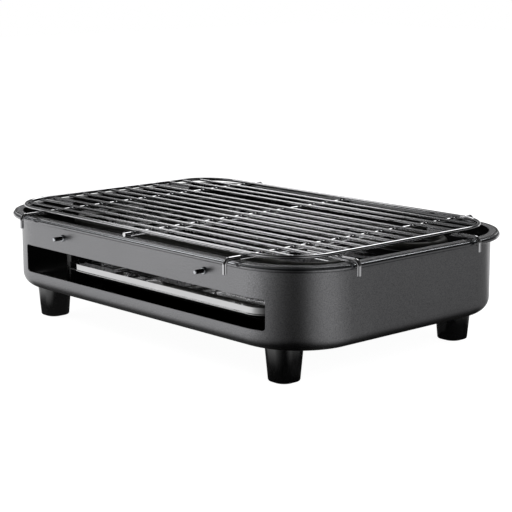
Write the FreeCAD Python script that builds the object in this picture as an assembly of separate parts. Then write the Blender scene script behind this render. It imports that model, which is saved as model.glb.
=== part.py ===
import FreeCAD, Part
import math
import os

from FreeCAD import Vector

# Electric fish roaster: a deep-drawn steel tub on four moulded feet, with a wire net that hooks
# over its rim, a bent heating element, a fat tray that slides out of a slot in the long front
# wall, and an appliance inlet on the left end. Millimetres; +Z up, front is -Y, right is +X.
# The origin is on the table, at the centre of the four feet.

UP = Vector(0, 0, 1)
OVERSHOOT = 1.0                # how far a cutting tool runs past the face that it cuts

# ---- clearances ----
running_clearance = 0.05       # radial, shaft in hole
weld_gap = 0.05                # between wires that are spot-welded where they cross
rest_gap = 0.3                 # between a loose piece and what carries it
slide_gap = 0.6                # beside the tray, to its guides

# ---- tub ----
rim_length = 400.0
rim_width = 266.0
rim_corner_radius = 64.0
rim_height = 94.0              # flat top of the flange above the table
flange_width = 7.4             # from the wall's outer face to the rim's edge
tub_sheet = 1.2
tub_bottom_radius = 12.0
bead_radius = 2.0              # rolled edge of the flange
bead_step = 0.7                # top of the rolled edge below the flat of the flange
bead_cover = 0.5               # how far the flat reaches over the rolled edge from its middle

# ---- front slot ----
slot_left_inset = 44.6         # from the tub's end walls
slot_right_inset = 36.4
slot_above_bottom = 15.9       # from the tub's underside
slot_height = 23.8
slot_corner_radius = 2.5

# ---- feet ----
foot_height = 27.7             # underside of the tub above the table
foot_inset_x = 51.0            # from the rim's edge to the foot's middle
foot_inset_y = 37.0
foot_top_size = 26.5
foot_top_radius = 9.5
foot_bottom_size = 22.5
foot_bottom_radius = 9.0
foot_edge_radius = 2.0
foot_screw_radius = 1.95
foot_screw_depth = 15.0        # of the screw in the foot
foot_washer_radius = 5.5
foot_washer_thickness = 1.0

# ---- screws, nuts and rivets ----
screw_head_radius = 3.9
screw_head_height = 2.4
screw_recess_depth = 1.2
screw_recess_width = 0.9
nut_radius = 3.2
nut_height = 2.4
screw_end = 1.0                # how far a screw stands out of its nut
rivet_radius = 2.4
rivet_height = 1.1
rivet_shank_radius = 1.4

# ---- support rods under the element ----
rod_inset = 100.6              # from the tub's end wall
rod_drop = 14.0                # below the rim
rod_radius = 1.75
rod_projection = 9.5           # out of the front and back walls
rod_end_round = 0.6
collar_radius = 2.9
collar_thickness = 1.8

# ---- left compartment and its bright end shield ----
compartment_length = 78.6      # from the end wall to the shield
shield_sheet = 1.0
shield_end_gap = 21.4          # from the front and back walls
shield_drop = 14.4             # below the rim
shield_foot = 12.0
shield_edge_fold = 6.0
shield_tab_length = 43.0
shield_tab_width = 52.0
shield_rivet_inset = 28.0      # from the shield's ends

# ---- heating element ----
element_radius = 3.5
element_side_gap = 39.4        # from the front and back walls to the outer long runs
element_end_gap = 29.4         # from the right end wall to the right-hand bends
element_inner_run = 30.0       # half the distance between the inner long runs
element_return_gap = 17.8      # from the shield to where the inner runs turn back
element_cross_gap = 22.2       # from the shield, over the left compartment, to the cross runs
element_leg_spacing = 44.0
element_leg_drop = 22.0        # below the rim, where the legs leave through the end wall
element_leg_start = 33.4       # from the end wall, where the legs begin to slope down
element_leg_end = 17.4         # from the end wall, where they are level again
element_corner_radius = 14.0
element_leg_bend = 9.0
element_leg_reach = 6.0        # out of the tub's end wall
terminal_radius = 1.5
terminal_length = 9.0
seal_radius = 3.0
seal_length = 2.5

# ---- element flange inside the end wall ----
element_flange_width = 76.0
element_flange_height = 18.0
element_flange_radius = 5.4
element_flange_sheet = 1.5
flange_screw_inset = 6.5       # from the flange's ends
flange_screw_radius = 1.45

# ---- fat tray ----
tray_front_gap = 4.8           # from the front wall
tray_back_gap = 16.4           # from the back wall
tray_slot_gap = 2.2            # from the slot's right end
tray_shield_gap = 15.5         # from the end shield
tray_above_slot = 14.7         # the tray's rim above the slot's lower edge
tray_corner_radius = 20.0
tray_sheet = 0.8
tray_skirt_height = 6.0
tray_rim_width = 9.0
tray_basin_depth = 13.0
tray_basin_radius = 5.0
tray_bead_radius = 0.7

# ---- tray runners ----
runner_sheet = 1.2
runner_front_gap = 10.4        # from the front wall
runner_ledge = 7.0
runner_foot = 12.0
runner_foot_inset = 44.4       # from the front and back walls
runner_foot_clear = 8.0        # how high the web's ends stand over the foot screws and the floor's edge
runner_guide_height = 5.0      # of the guide above the ledge
runner_rivet_inset = 15.0      # from the ends of the runner's foot

# ---- appliance inlet on the left end ----
housing_width = 78.0
housing_height = 38.4
housing_reach = 32.9           # out of the end wall
housing_drop = 5.6             # of the housing's top below the rim
housing_wall = 2.4
housing_corner_radius = 7.0
housing_edge_radius = 2.0
ear_width = 12.0
ear_height = 20.0
ear_thickness = 3.0
ear_corner_radius = 4.0
housing_screw_radius = 1.7
socket_width = 29.0
socket_height = 21.0
socket_corner_radius = 3.0
socket_lip_border = 3.0        # how far the lip covers the housing round the block
socket_lip = 1.6
socket_recess_wall = 2.2
socket_recess_depth = 16.0
socket_length = 20.0
socket_rise = 16.0             # of the socket's middle above the housing's underside
pin_width = 4.0
pin_thickness = 2.0
pin_pitch = 7.0
pin_step = 4.0                 # height of the middle pin above the outer two
pin_setback = 2.0              # of the pins' tips inside the lip
pin_tail = 7.0
earth_screw_gap = 6.0          # from the element flange's lower edge
earth_screw_radius = 1.9

# ---- net ----
net_end_inset = 18.5           # from the rim's edges to the middle of the frame wire
net_front_inset = 13.0
net_back_inset = 18.4
net_corner_radius = 41.0
net_frame_radius = 1.5
net_rod_radius = 1.1
net_rod_count = 13
net_front_gap = 16.8           # from the middle of the frame's front wire to the first rod
net_back_gap = 19.0            # from the last rod to the middle of the frame's back wire
net_wide_gap = 21.2            # the wider step that follows the tenth rod
net_wide_after = 10
cross_wire_radius = 1.75
cross_wire_inset = 49.5        # from the frame's end wires to the outer cross wires
centre_wire_inset = 3.0        # of the middle cross wire's ends from the rim's edge
hook_bend = 4.0
hook_leg_drop = 8.8            # of the hooks' ends below the rim
hook_play_x = 0.9              # between the hooks' legs and the rim's edge
hook_play_y = 4.0
end_hook_lap = 18.0            # from the outer cross wires to the end hooks' inner ends
end_hook_rods = (2, 10)        # which rods, from the front, the end hooks lie under
net_shift_x = 0.5              # the net lies a little off centre, in its hooks' play
net_shift_y = -1.3

# ---- derived ----
wall_length = rim_length - 2 * flange_width
wall_width = rim_width - 2 * flange_width
wall_radius = rim_corner_radius - flange_width
inner_length = wall_length - 2 * tub_sheet
inner_width = wall_width - 2 * tub_sheet
floor_top = foot_height + tub_sheet
left_wall_out = -wall_length / 2
left_wall_in = -inner_length / 2

slot_left = -wall_length / 2 + slot_left_inset
slot_right = wall_length / 2 - slot_right_inset
slot_bottom = foot_height + slot_above_bottom
foot_x = rim_length / 2 - foot_inset_x
foot_y = rim_width / 2 - foot_inset_y
rod_x = wall_length / 2 - rod_inset
rod_height = rim_height - rod_drop

shield_x = left_wall_in + compartment_length
shield_half = inner_width / 2 - shield_end_gap
shield_top = rim_height - shield_drop

element_height = rod_height + rod_radius + weld_gap + element_radius
element_outer_run = inner_width / 2 - element_side_gap
element_right_end = inner_length / 2 - element_end_gap
element_return_end = shield_x + element_return_gap
element_cross_end = shield_x - element_cross_gap
element_leg_height = rim_height - element_leg_drop

tray_left = shield_x + tray_shield_gap
tray_right = slot_right - tray_slot_gap
tray_front = -inner_width / 2 + tray_front_gap
tray_back = inner_width / 2 - tray_back_gap
tray_top = slot_bottom + tray_above_slot
tray_middle_x = (tray_left + tray_right) / 2
tray_middle_y = (tray_front + tray_back) / 2
tray_width = tray_right - tray_left
tray_depth = tray_back - tray_front
skirt_bottom = tray_top - tray_skirt_height
runner_foot_half = inner_width / 2 - runner_foot_inset

housing_face = left_wall_out - housing_reach
housing_top = rim_height - housing_drop
housing_bottom = housing_top - housing_height
housing_middle = (housing_bottom + housing_top) / 2
socket_middle = housing_bottom + socket_rise
earth_screw_z = element_leg_height - element_flange_height / 2 - earth_screw_gap

net_length = rim_length - 2 * net_end_inset
net_front = -rim_width / 2 + net_front_inset
net_back = rim_width / 2 - net_back_inset
net_width = net_back - net_front
net_middle_y = (net_front + net_back) / 2
net_rod_pitch = (net_width - net_front_gap - net_wide_gap - net_back_gap) / (net_rod_count - 2)
cross_wire_height = rim_height + rest_gap + cross_wire_radius
cross_wire_x = net_length / 2 - cross_wire_inset
net_frame_height = cross_wire_height + cross_wire_radius + weld_gap + net_frame_radius
net_rod_height = cross_wire_height + cross_wire_radius + weld_gap + net_rod_radius
hook_leg_bottom = rim_height - hook_leg_drop
side_hook_reach = rim_width / 2 + hook_play_y + cross_wire_radius
end_hook_reach = rim_length / 2 + hook_play_x + cross_wire_radius


def save(name, solids):
    """Write one node, as one solid or as a group of separate solids."""
    shape = solids[0] if len(solids) == 1 else Part.makeCompound(solids)
    volume = sum(solid.Volume for solid in solids)
    print(f"{name}: {len(shape.Solids)} solid(s), {volume:.0f} mm3, valid {shape.isValid()}")
    shape.exportStep(f"parts/{name}.step")


def rounded_outline(length, width, radius, z, x=0.0, y=0.0):
    """A closed wire: a rectangle with round corners, lying at height z."""
    hx = length / 2
    hy = width / 2
    r = min(radius, hx - 0.01, hy - 0.01)
    d = r * (1 - math.sqrt(0.5))
    corners = [(1, 1), (-1, 1), (-1, -1), (1, -1)]
    edges = []
    for k, (sx, sy) in enumerate(corners):
        along_y = Vector(x + sx * hx, y + sy * (hy - r), z)
        along_x = Vector(x + sx * (hx - r), y + sy * hy, z)
        middle = Vector(x + sx * (hx - d), y + sy * (hy - d), z)
        first, last = (along_y, along_x) if sx * sy > 0 else (along_x, along_y)
        edges.append(Part.Arc(first, middle, last).toShape())
        nx, ny = corners[(k + 1) % 4]
        if nx == sx:
            following = Vector(x + nx * hx, y + ny * (hy - r), z)
        else:
            following = Vector(x + nx * (hx - r), y + ny * hy, z)
        if last.distanceToPoint(following) > 0.001:
            edges.append(Part.LineSegment(last, following).toShape())
    return Part.Wire(Part.__sortEdges__(edges))


def rounded_prism(length, width, radius, z_low, z_high, x=0.0, y=0.0):
    """A rectangular block with round vertical corners."""
    face = Part.Face(rounded_outline(length, width, radius, z_low, x, y))
    return face.extrude(Vector(0, 0, z_high - z_low))


def box(x_low, x_high, y_low, y_high, z_low, z_high):
    return Part.makeBox(x_high - x_low, y_high - y_low, z_high - z_low, Vector(x_low, y_low, z_low))


def cylinder(radius, start, end):
    along = end - start
    return Part.makeCylinder(radius, along.Length, start, along)


def bottom_edges(solid, z):
    """The edges of a solid that lie flat at height z."""
    return [e for e in solid.Edges if abs(e.BoundBox.ZMin - z) < 0.001 and abs(e.BoundBox.ZMax - z) < 0.001]


def rounded_path(points, radii):
    """An open wire of straight runs through the points, with a tangent arc at each inner point."""
    edges = []
    start = points[0]
    for k in range(1, len(points) - 1):
        corner = points[k]
        back = (points[k - 1] - corner).normalize()
        ahead = (points[k + 1] - corner).normalize()
        half_turn = (math.pi - back.getAngle(ahead)) / 2
        reach = radii[k - 1] * math.tan(half_turn)
        arc_start = corner + back * reach
        arc_end = corner + ahead * reach
        bisector = (back + ahead).normalize()
        to_centre = radii[k - 1] / math.cos(half_turn)
        arc_middle = corner + bisector * (to_centre - radii[k - 1])
        if start.distanceToPoint(arc_start) > 0.001:
            edges.append(Part.LineSegment(start, arc_start).toShape())
        edges.append(Part.Arc(arc_start, arc_middle, arc_end).toShape())
        start = arc_end
    edges.append(Part.LineSegment(start, points[-1]).toShape())
    return Part.Wire(edges)


def tube(path, radius):
    """A round wire or sheath swept along a path."""
    first = path.OrderedEdges[0]
    start = first.valueAt(first.FirstParameter)
    along = first.tangentAt(first.FirstParameter)
    if first.Orientation == "Reversed":
        start = first.valueAt(first.LastParameter)
        along = first.tangentAt(first.LastParameter) * -1
    section = Part.Wire(Part.makeCircle(radius, start, along))
    swept = path.makePipeShell([section], True, True)
    solid = swept if swept.ShapeType == "Solid" else Part.Solid(swept.Shells[0])
    return solid


def ring_tube(length, width, corner_radius, z, radius, x=0.0, y=0.0):
    """A round bar bent to a closed rounded rectangle: four straight runs and four quarter rings."""
    hx = length / 2
    hy = width / 2
    r = corner_radius
    pieces = []
    for sx, sy, turn in ((1, 1, 0), (-1, 1, 90), (-1, -1, 180), (1, -1, 270)):
        centre = Vector(x + sx * (hx - r), y + sy * (hy - r), z)
        corner = Part.makeTorus(r, radius, Vector(0, 0, 0), UP, -180, 180, 90)
        corner.Placement = FreeCAD.Placement(centre, FreeCAD.Rotation(UP, turn))
        pieces.append(corner)
    for s in (1, -1):
        pieces.append(cylinder(radius, Vector(x - (hx - r), y + s * hy, z), Vector(x + hx - r, y + s * hy, z)))
        pieces.append(cylinder(radius, Vector(x + s * hx, y - (hy - r), z), Vector(x + s * hx, y + hy - r, z)))
    return pieces[0].fuse(pieces[1:]).removeSplitter()


def end_prism(width, height, radius, x_low, x_high, y, z):
    """A block from x_low to x_high whose width along Y and height along Z have round corners."""
    prism = rounded_prism(width, height, radius, 0, x_high - x_low)
    across = FreeCAD.Rotation(UP, 90)
    turn = FreeCAD.Rotation(UP, Vector(1, 0, 0)).multiply(across)
    prism.Placement = FreeCAD.Placement(Vector(x_low, y, z), turn)
    return prism


def pan_screw(radius, length, seat, direction):
    """A cross-recessed pan-head screw: its head stands on the seat, its shank points along direction."""
    shank = Part.makeCylinder(radius, length, Vector(0, 0, -length))
    head = Part.makeCylinder(screw_head_radius, screw_head_height)
    crown = [e for e in head.Edges if abs(e.BoundBox.ZMin - screw_head_height) < 0.001]
    head = head.makeFillet(screw_head_height * 0.45, crown)
    arm = screw_head_radius * 0.55
    half = screw_recess_width / 2
    low = screw_head_height - screw_recess_depth
    high = screw_head_height + OVERSHOOT
    head = head.cut([box(-arm, arm, -half, half, low, high), box(-half, half, -arm, arm, low, high)])
    screw = shank.fuse(head).removeSplitter()
    screw.Placement = FreeCAD.Placement(seat, FreeCAD.Rotation(Vector(0, 0, -1), Vector(*direction)))
    return screw


def foot_places():
    return [(name, sx * foot_x, sy * foot_y)
            for name, sx, sy in (("front_left", -1, -1), ("front_right", 1, -1),
                                 ("back_left", -1, 1), ("back_right", 1, 1))]


def leg_places():
    return [-element_leg_spacing / 2, element_leg_spacing / 2]


# ---- the tub ----

def make_tub():
    outside = rounded_prism(wall_length, wall_width, wall_radius, foot_height, rim_height)
    outside = outside.makeFillet(tub_bottom_radius, bottom_edges(outside, foot_height))
    inside = rounded_prism(inner_length, inner_width, wall_radius - tub_sheet, floor_top, rim_height + OVERSHOOT)
    inside = inside.makeFillet(tub_bottom_radius - tub_sheet, bottom_edges(inside, floor_top))
    flat_inset = bead_radius - bead_cover
    flange = rounded_prism(rim_length - 2 * flat_inset, rim_width - 2 * flat_inset,
                           rim_corner_radius - flat_inset, rim_height - tub_sheet, rim_height)
    flange = flange.cut(rounded_prism(inner_length, inner_width, wall_radius - tub_sheet,
                                      rim_height - 2 * tub_sheet, rim_height + OVERSHOOT))
    bead_height = rim_height - bead_step - bead_radius
    bead = ring_tube(rim_length - 2 * bead_radius, rim_width - 2 * bead_radius,
                     rim_corner_radius - bead_radius, bead_height, bead_radius)
    tub = outside.cut(inside).fuse(flange).fuse(bead)
    slot = rounded_prism(slot_right - slot_left, slot_height, slot_corner_radius, 0, rim_corner_radius)
    slot.Placement = FreeCAD.Placement(
        Vector((slot_left + slot_right) / 2, -rim_width / 2 + rim_corner_radius / 2, slot_bottom + slot_height / 2),
        FreeCAD.Rotation(Vector(1, 0, 0), 90))
    tub = tub.cut(slot)
    tools = []
    for name, x, y in foot_places():
        hole = foot_screw_radius + running_clearance
        tools.append(cylinder(hole, Vector(x, y, foot_height - OVERSHOOT), Vector(x, y, floor_top + OVERSHOOT)))
    for x in (-rod_x, rod_x):
        hole = rod_radius + running_clearance
        tools.append(cylinder(hole, Vector(x, -rim_width, rod_height), Vector(x, rim_width, rod_height)))
    end_holes = [(y, element_leg_height, element_radius + running_clearance) for y in leg_places()]
    end_holes += [(y, element_leg_height, flange_screw_radius + running_clearance) for y in flange_screw_places()]
    end_holes += [(y, housing_middle, housing_screw_radius + running_clearance) for y in ear_places()]
    end_holes.append((0, earth_screw_z, earth_screw_radius + running_clearance))
    for y, z, hole in end_holes:
        tools.append(cylinder(hole, Vector(left_wall_out - OVERSHOOT, y, z), Vector(left_wall_in + OVERSHOOT, y, z)))
    return tub.cut(tools)


# ---- feet ----

def make_foot(x, y):
    top = rounded_outline(foot_top_size, foot_top_size, foot_top_radius, foot_height, x, y)
    bottom = rounded_outline(foot_bottom_size, foot_bottom_size, foot_bottom_radius, 0, x, y)
    foot = Part.makeLoft([bottom, top], True, True)
    foot = foot.makeFillet(foot_edge_radius, bottom_edges(foot, 0))
    depth = foot_screw_depth + OVERSHOOT
    hole = cylinder(foot_screw_radius + running_clearance, Vector(x, y, foot_height - depth),
                    Vector(x, y, foot_height + OVERSHOOT))
    return foot.cut(hole)


def make_foot_washer(x, y):
    low = Vector(x, y, floor_top)
    high = Vector(x, y, floor_top + foot_washer_thickness)
    hole = foot_screw_radius + running_clearance
    return cylinder(foot_washer_radius, low, high).cut(cylinder(hole, low - UP, high + UP))


def make_foot_screw(x, y):
    seat = Vector(x, y, floor_top + foot_washer_thickness)
    length = foot_screw_depth + tub_sheet + foot_washer_thickness
    return pan_screw(foot_screw_radius, length, seat, (0, 0, -1))


# ---- support rods ----

def make_support_rod(x):
    reach = wall_width / 2 + rod_projection
    rod = cylinder(rod_radius, Vector(x, -reach, rod_height), Vector(x, reach, rod_height))
    ends = [e for e in rod.Edges if e.BoundBox.YLength < 0.001]
    return rod.makeFillet(rod_end_round, ends)


def make_rod_collar(x, side):
    near = Vector(x, side * wall_width / 2, rod_height)
    far = near + Vector(0, side * collar_thickness, 0)
    collar = cylinder(collar_radius, near, far)
    rim = [e for e in collar.Edges if e.BoundBox.YLength < 0.001 and abs(e.CenterOfMass.y - far.y) < 0.001]
    collar = collar.makeFillet(collar_thickness * 0.4, rim)
    bore = rod_radius + running_clearance
    return collar.cut(cylinder(bore, near - Vector(0, side, 0), far + Vector(0, side, 0)))


# ---- heating element ----

def element_points():
    """Half of the element's route, from the front leg's end to the far end of the inner run."""
    y_leg = -element_leg_spacing / 2
    z = element_height
    return [
        Vector(left_wall_out - element_leg_reach, y_leg, element_leg_height),
        Vector(left_wall_in + element_leg_end, y_leg, element_leg_height),
        Vector(left_wall_in + element_leg_start, y_leg, z),
        Vector(element_cross_end, y_leg, z),
        Vector(element_cross_end, -element_outer_run, z),
        Vector(element_right_end, -element_outer_run, z),
        Vector(element_right_end, -element_inner_run, z),
        Vector(element_return_end, -element_inner_run, z),
    ]


def make_element():
    front_half = element_points()
    back_half = [Vector(p.x, -p.y, p.z) for p in reversed(front_half)]
    turn = (element_outer_run - element_inner_run) / 2
    half_radii = [element_leg_bend, element_leg_bend, element_corner_radius, element_corner_radius,
                  turn, turn, element_inner_run]
    return tube(rounded_path(front_half + back_half, half_radii + half_radii[::-1]), element_radius)


def make_terminal(y):
    end = Vector(left_wall_out - element_leg_reach, y, element_leg_height)
    return cylinder(terminal_radius, end, end - Vector(terminal_length, 0, 0))


def make_seal(y):
    end = Vector(left_wall_out - element_leg_reach, y, element_leg_height)
    bead = cylinder(seal_radius, end, end - Vector(seal_length, 0, 0))
    bore = terminal_radius + running_clearance
    return bead.cut(cylinder(bore, end + Vector(1, 0, 0), end - Vector(seal_length + 1, 0, 0)))


def flange_screw_places():
    reach = element_flange_width / 2 - flange_screw_inset
    return [-reach, reach]


def make_element_flange():
    """The plate that the element's legs are brazed into, screwed inside the end wall."""
    plate = end_prism(element_flange_width, element_flange_height, element_flange_radius,
                      left_wall_in, left_wall_in + element_flange_sheet, 0, element_leg_height)
    holes = [(y, element_radius) for y in leg_places()] + [(y, flange_screw_radius) for y in flange_screw_places()]
    for y, radius in holes:
        plate = plate.cut(cylinder(radius + running_clearance,
                                   Vector(left_wall_in - OVERSHOOT, y, element_leg_height),
                                   Vector(left_wall_in + element_flange_sheet + OVERSHOOT, y, element_leg_height)))
    return plate


def make_flange_screw(y):
    seat = Vector(left_wall_in + element_flange_sheet, y, element_leg_height)
    length = element_flange_sheet + tub_sheet + nut_height + screw_end
    return pan_screw(flange_screw_radius, length, seat, (-1, 0, 0))


def make_hex_nut(centre, direction, bore_radius):
    """A hexagon nut that starts at a face and grows along direction."""
    along = Vector(*direction)
    points = []
    for k in range(7):
        angle = math.radians(60 * k)
        points.append(centre + Vector(0, nut_radius * math.cos(angle), nut_radius * math.sin(angle)))
    nut = Part.Face(Part.makePolygon(points)).extrude(along * nut_height)
    return nut.cut(cylinder(bore_radius, centre - along, centre + along * (nut_height + 1)))


# ---- end shield ----

def make_shield():
    """The bright sheet between the tray and the tub's left end: a foot, two folded edges and a top tab."""
    y = shield_half
    inner_face = shield_x - shield_sheet
    upright = box(inner_face, shield_x, -y, y, floor_top, shield_top)
    foot = box(shield_x - shield_foot, shield_x, -y, y, floor_top, floor_top + shield_sheet)
    tab = box(shield_x - shield_tab_length, shield_x, -shield_tab_width / 2, shield_tab_width / 2,
              shield_top - shield_sheet, shield_top)
    tab_end = box(shield_x - shield_tab_length, shield_x - shield_tab_length + shield_sheet,
                  -shield_tab_width / 2, shield_tab_width / 2, shield_top - shield_edge_fold, shield_top)
    pieces = [foot, tab, tab_end]
    for side in (-1, 1):
        edge = side * y
        inner = edge - side * shield_sheet
        pieces.append(box(shield_x - shield_edge_fold, shield_x, min(edge, inner), max(edge, inner),
                          floor_top + shield_sheet, shield_top))
    shield = upright.fuse(pieces)
    for x, y, z in shield_rivet_places():
        shield = shield.cut(rivet_hole(x, y, z))
    return shield.removeSplitter()


# ---- rivets that hold the shield and the runners to the tub's floor ----

def shield_rivet_places():
    x = shield_x - shield_foot / 2
    y = shield_half - shield_rivet_inset
    return [(x, side * y, floor_top + shield_sheet) for side in (-1, 1)]


def runner_rivet_places(side):
    x = runner_web_face(side) - side * (runner_foot / 2)
    y = runner_foot_half - runner_rivet_inset
    return [(x, end * y, floor_top + runner_sheet) for end in (-1, 1)]


def rivet_hole(x, y, z):
    bore = rivet_shank_radius + running_clearance
    return Part.makeCylinder(bore, z - floor_top + 2 * OVERSHOOT, Vector(x, y, floor_top - OVERSHOOT))


def make_rivet(x, y, z):
    """A rivet whose shank fills a hole down to the floor and whose head stands at height z."""
    shank = Part.makeCylinder(rivet_shank_radius, z - floor_top, Vector(x, y, floor_top))
    head = Part.makeCylinder(rivet_radius, rivet_height, Vector(x, y, z))
    crown = [e for e in head.Edges if abs(e.BoundBox.ZMin - z - rivet_height) < 0.001]
    head = head.makeFillet(rivet_height * 0.7, crown)
    return shank.fuse(head).removeSplitter()


# ---- fat tray ----

def make_tray():
    """A pan with a flat rim, a turned-down skirt with a beaded edge, and a shallow basin."""
    def layer(inset, z_low, z_high):
        return rounded_prism(tray_width - 2 * inset, tray_depth - 2 * inset, tray_corner_radius - inset,
                             z_low, z_high, tray_middle_x, tray_middle_y)
    skirt = layer(0, skirt_bottom, tray_top).cut(layer(tray_sheet, skirt_bottom - 1, tray_top - tray_sheet))
    bead = ring_tube(tray_width, tray_depth, tray_corner_radius,
                     skirt_bottom + tray_bead_radius, tray_bead_radius, tray_middle_x, tray_middle_y)
    basin_bottom = tray_top - tray_basin_depth
    basin_out = layer(tray_rim_width, basin_bottom, tray_top)
    basin_out = basin_out.makeFillet(tray_basin_radius, bottom_edges(basin_out, basin_bottom))
    basin_in = layer(tray_rim_width + tray_sheet, basin_bottom + tray_sheet, tray_top + 1)
    basin_in = basin_in.makeFillet(tray_basin_radius - tray_sheet,
                                   bottom_edges(basin_in, basin_bottom + tray_sheet))
    return skirt.fuse(basin_out).fuse(bead).cut(basin_in).removeSplitter()


# ---- tray runners ----

def runner_web_face(side):
    """X of the runner's face beside the tray's skirt."""
    return tray_middle_x + side * (tray_width / 2 + tray_bead_radius + slide_gap)


def make_runner(side):
    """A bent strip with a ledge for the tray's skirt, a guide beside it and a stop behind it."""
    web_in = runner_web_face(side)
    web_out = web_in + side * runner_sheet
    ledge_end = web_in - side * runner_ledge
    ledge_top = skirt_bottom - rest_gap
    guide_top = ledge_top + runner_guide_height
    stop_front = tray_back + tray_bead_radius + rest_gap
    stop_back = stop_front + runner_sheet
    runner_front = -inner_width / 2 + runner_front_gap

    def strip(x_a, x_b, y_low, y_high, z_low, z_high):
        return box(min(x_a, x_b), max(x_a, x_b), y_low, y_high, z_low, z_high)

    web = strip(web_in, web_out, runner_front, stop_back, floor_top + runner_foot_clear, guide_top)
    apron = strip(web_in, web_out, -runner_foot_half, runner_foot_half, floor_top, floor_top + runner_foot_clear)
    foot = strip(web_out - side * runner_foot, web_in, -runner_foot_half, runner_foot_half,
                 floor_top, floor_top + runner_sheet)
    ledge = strip(ledge_end, web_in, runner_front, stop_back, ledge_top - runner_sheet, ledge_top)
    stop = strip(ledge_end, web_in, stop_front, stop_back, ledge_top, guide_top)
    runner = web.fuse([apron, foot, ledge, stop])
    for x, y, z in runner_rivet_places(side):
        runner = runner.cut(rivet_hole(x, y, z))
    return runner.removeSplitter()


# ---- appliance inlet ----

def ear_places():
    reach = housing_width / 2 + ear_width / 2
    return [-reach, reach]


def make_housing():
    z = housing_middle
    face = housing_face
    shell = end_prism(housing_width, housing_height, housing_corner_radius, face, left_wall_out, 0, z)
    front = [e for e in shell.Edges if e.BoundBox.XLength < 0.001 and abs(e.BoundBox.XMin - face) < 0.001]
    shell = shell.makeFillet(housing_edge_radius, front)
    for y in ear_places():
        width = 2 * ear_width
        ear = end_prism(width, ear_height, ear_corner_radius, left_wall_out - ear_thickness, left_wall_out,
                        y - math.copysign(ear_width / 2, y), z)
        shell = shell.fuse(ear)
    cavity = end_prism(housing_width - 2 * housing_wall, housing_height - 2 * housing_wall,
                       housing_corner_radius - housing_wall, face + housing_wall,
                       left_wall_out + OVERSHOOT, 0, z)
    shell = shell.cut(cavity)
    window = end_prism(socket_width + 2 * running_clearance, socket_height + 2 * running_clearance,
                       socket_corner_radius, face - OVERSHOOT, face + housing_wall + OVERSHOOT,
                       0, socket_middle)
    shell = shell.cut(window)
    for y in ear_places():
        hole = housing_screw_radius + running_clearance
        shell = shell.cut(cylinder(hole, Vector(left_wall_out - ear_thickness - OVERSHOOT, y, z),
                                   Vector(left_wall_out + OVERSHOOT, y, z)))
    return shell.removeSplitter()


def pin_places():
    return [(-pin_pitch, 0.0), (0.0, pin_step), (pin_pitch, 0.0)]


def make_socket():
    """The inlet's insulating block: a lip on the housing's face, a deep recess and three pin slots."""
    lip_face = housing_face - socket_lip
    block = end_prism(socket_width, socket_height, socket_corner_radius, housing_face,
                      housing_face + socket_length, 0, socket_middle)
    lip = end_prism(socket_width + 2 * socket_lip_border, socket_height + 2 * socket_lip_border,
                    socket_corner_radius + socket_lip_border, lip_face, housing_face, 0, socket_middle)
    recess = end_prism(socket_width - 2 * socket_recess_wall, socket_height - 2 * socket_recess_wall,
                       socket_corner_radius - socket_recess_wall / 2, lip_face - OVERSHOOT,
                       lip_face + socket_recess_depth, 0, socket_middle)
    block = block.fuse(lip).cut(recess)
    for y, rise in pin_places():
        half = pin_thickness / 2 + running_clearance
        tall = pin_width / 2 + running_clearance
        z = socket_middle + rise
        block = block.cut(box(housing_face, housing_face + socket_length + OVERSHOOT,
                              y - half, y + half, z - tall, z + tall))
    return block.removeSplitter()


def make_pin(y, rise):
    z = socket_middle + rise
    return box(housing_face - socket_lip + pin_setback, housing_face + socket_length + pin_tail,
               y - pin_thickness / 2, y + pin_thickness / 2, z - pin_width / 2, z + pin_width / 2)


def make_housing_screw(y):
    seat = Vector(left_wall_out - ear_thickness, y, housing_middle)
    length = ear_thickness + tub_sheet + nut_height + screw_end
    return pan_screw(housing_screw_radius, length, seat, (1, 0, 0))


def make_earth_screw():
    seat = Vector(left_wall_out, 0, earth_screw_z)
    length = tub_sheet + nut_height + screw_end
    return pan_screw(earth_screw_radius, length, seat, (1, 0, 0))


# ---- net ----

def net_point(x, y, z):
    return Vector(x + net_shift_x, y + net_shift_y, z)


def net_rod_end(y):
    """How far a rod reaches from the net's middle before its end meets the frame's inner side."""
    straight = net_width / 2 - net_corner_radius
    outer_edge = abs(y - net_middle_y) + net_rod_radius
    if outer_edge <= straight:
        return net_length / 2 - net_frame_radius - weld_gap
    inner_radius = net_corner_radius - net_frame_radius - weld_gap
    sideways = outer_edge - straight
    return net_length / 2 - net_corner_radius + math.sqrt(inner_radius ** 2 - sideways ** 2)


def make_net_frame():
    return ring_tube(net_length, net_width, net_corner_radius, net_frame_height, net_frame_radius,
                     net_shift_x, net_middle_y + net_shift_y)


def net_rod_y(index):
    step = net_wide_gap - net_rod_pitch if index >= net_wide_after else 0
    return net_front + net_front_gap + index * net_rod_pitch + step


def make_net_rod(index):
    y = net_rod_y(index)
    reach = net_rod_end(y)
    return cylinder(net_rod_radius, net_point(-reach, y, net_rod_height), net_point(reach, y, net_rod_height))


def make_hooked_cross_wire(x):
    """A wire under the rods whose ends run over the front and back flange and hook down."""
    points = [net_point(x, -side_hook_reach, hook_leg_bottom),
              net_point(x, -side_hook_reach, cross_wire_height),
              net_point(x, side_hook_reach, cross_wire_height),
              net_point(x, side_hook_reach, hook_leg_bottom)]
    return tube(rounded_path(points, [hook_bend] * 2), cross_wire_radius)


def make_centre_cross_wire():
    """The middle wire under the rods, whose plain ends lie on the front and back flange."""
    reach = rim_width / 2 - centre_wire_inset
    return cylinder(cross_wire_radius, net_point(0, -reach, cross_wire_height),
                    net_point(0, reach, cross_wire_height))


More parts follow.
